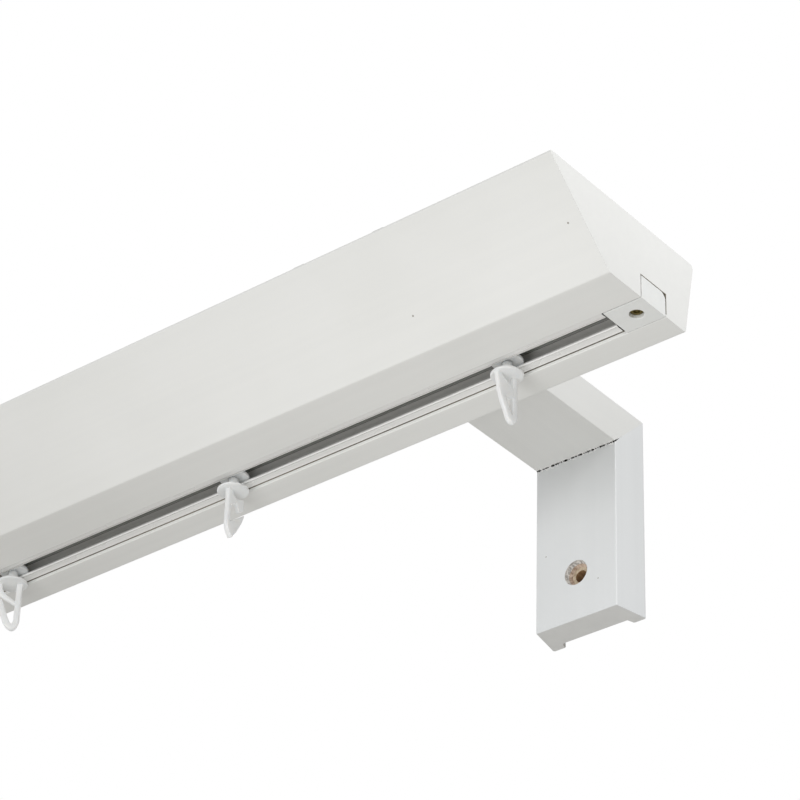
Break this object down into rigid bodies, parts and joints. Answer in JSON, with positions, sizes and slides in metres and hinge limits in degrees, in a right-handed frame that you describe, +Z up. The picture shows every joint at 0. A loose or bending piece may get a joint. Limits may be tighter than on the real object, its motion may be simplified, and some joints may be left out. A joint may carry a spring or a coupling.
{
  "type": "curtain track",
  "caption": "White wooden valance rail on mitred wall brackets, with an aluminium track let into its underside and snap-in swivel hooks on sliding runners.",
  "frame": {"origin": "on the wall plane, at mid length of the rail and at the height of the two wall screws", "axes": "+X along the rail, towards the end that the picture shows; -Y from the wall into the room; +Z up"},
  "size_m": [1.2, 0.1821, 0.0911],
  "materials": {
    "painted_wood": "white lacquer, satin, over solid wood",
    "aluminium": "white coated extrusion, satin",
    "white_plastic": "moulded, fine matt",
    "brass": "yellow passivated",
    "plated_steel": "zinc plated",
    "beech": "bare, fluted",
    "nylon": "natural, slightly translucent"
  },
  "bodies": {
    "rail": {"valance_rail": "painted_wood", "inner_track": "aluminium", "end_stop_right": "white_plastic", "end_stop_left": "white_plastic", "end_stop_screws": "brass", "track_screws": "plated_steel", "bracket_arm_right": "painted_wood", "bracket_arm_left": "painted_wood", "bracket_leg_right": "painted_wood", "bracket_leg_left": "painted_wood", "mitre_dowels": "beech", "rail_screws": "plated_steel"},
    "runner_01": {"runner_01": "nylon"},
    "hook_01": {"hook_01": "nylon"},
    "runner_02": {"runner_02": "nylon"},
    "hook_02": {"hook_02": "nylon"},
    "runner_03": {"runner_03": "nylon"},
    "hook_03": {"hook_03": "nylon"},
    "runner_04": {"runner_04": "nylon"},
    "hook_04": {"hook_04": "nylon"},
    "runner_05": {"runner_05": "nylon"},
    "hook_05": {"hook_05": "nylon"},
    "runner_06": {"runner_06": "nylon"},
    "hook_06": {"hook_06": "nylon"},
    "runner_07": {"runner_07": "nylon"},
    "hook_07": {"hook_07": "nylon"},
    "runner_08": {"runner_08": "nylon"},
    "hook_08": {"hook_08": "nylon"},
    "runner_09": {"runner_09": "nylon"},
    "hook_09": {"hook_09": "nylon"},
    "runner_10": {"runner_10": "nylon"},
    "hook_10": {"hook_10": "nylon"}
  },
  "joints": [
    {"name": "runner_slide_01", "type": "slide", "parent": "rail", "child": "runner_01", "axis": [1, 0, 0], "range_m": [-0.1215, 0.0425]},
    {"name": "runner_slide_02", "type": "slide", "parent": "rail", "child": "runner_02", "axis": [1, 0, 0], "range_m": [-0.1075, 0.1215]},
    {"name": "runner_slide_03", "type": "slide", "parent": "rail", "child": "runner_03", "axis": [1, 0, 0], "range_m": [-0.10314, 0.1075]},
    {"name": "runner_slide_04", "type": "slide", "parent": "rail", "child": "runner_04", "axis": [1, 0, 0], "range_m": [-0.10314, 0.10314]},
    {"name": "runner_slide_05", "type": "slide", "parent": "rail", "child": "runner_05", "axis": [1, 0, 0], "range_m": [-0.10314, 0.10314]},
    {"name": "runner_slide_06", "type": "slide", "parent": "rail", "child": "runner_06", "axis": [1, 0, 0], "range_m": [-0.10314, 0.10314]},
    {"name": "runner_slide_07", "type": "slide", "parent": "rail", "child": "runner_07", "axis": [1, 0, 0], "range_m": [-0.10314, 0.10314]},
    {"name": "runner_slide_08", "type": "slide", "parent": "rail", "child": "runner_08", "axis": [1, 0, 0], "range_m": [-0.10314, 0.10314]},
    {"name": "runner_slide_09", "type": "slide", "parent": "rail", "child": "runner_09", "axis": [1, 0, 0], "range_m": [-0.10314, 0.10314]},
    {"name": "runner_slide_10", "type": "slide", "parent": "rail", "child": "runner_10", "axis": [1, 0, 0], "range_m": [-0.0425, 0.10314]},
    {"name": "hook_swivel_01", "type": "hinge", "parent": "runner_01", "child": "hook_01", "pos_m": [0.534, -0.1205, 0.0208], "axis": [0, 0, 1], "continuous": true},
    {"name": "hook_swivel_02", "type": "hinge", "parent": "runner_02", "child": "hook_02", "pos_m": [0.3995, -0.1205, 0.0208], "axis": [0, 0, 1], "continuous": true},
    {"name": "hook_swivel_03", "type": "hinge", "parent": "runner_03", "child": "hook_03", "pos_m": [0.279, -0.1205, 0.0208], "axis": [0, 0, 1], "continuous": true},
    {"name": "hook_swivel_04", "type": "hinge", "parent": "runner_04", "child": "hook_04", "pos_m": [0.16286, -0.1205, 0.0208], "axis": [0, 0, 1], "continuous": true},
    {"name": "hook_swivel_05", "type": "hinge", "parent": "runner_05", "child": "hook_05", "pos_m": [0.04671, -0.1205, 0.0208], "axis": [0, 0, 1], "continuous": true},
    {"name": "hook_swivel_06", "type": "hinge", "parent": "runner_06", "child": "hook_06", "pos_m": [-0.06943, -0.1205, 0.0208], "axis": [0, 0, 1], "continuous": true},
    {"name": "hook_swivel_07", "type": "hinge", "parent": "runner_07", "child": "hook_07", "pos_m": [-0.18557, -0.1205, 0.0208], "axis": [0, 0, 1], "continuous": true},
    {"name": "hook_swivel_08", "type": "hinge", "parent": "runner_08", "child": "hook_08", "pos_m": [-0.30171, -0.1205, 0.0208], "axis": [0, 0, 1], "continuous": true},
    {"name": "hook_swivel_09", "type": "hinge", "parent": "runner_09", "child": "hook_09", "pos_m": [-0.41786, -0.1205, 0.0208], "axis": [0, 0, 1], "continuous": true},
    {"name": "hook_swivel_10", "type": "hinge", "parent": "runner_10", "child": "hook_10", "pos_m": [-0.534, -0.1205, 0.0208], "axis": [0, 0, 1], "continuous": true}
  ]
}
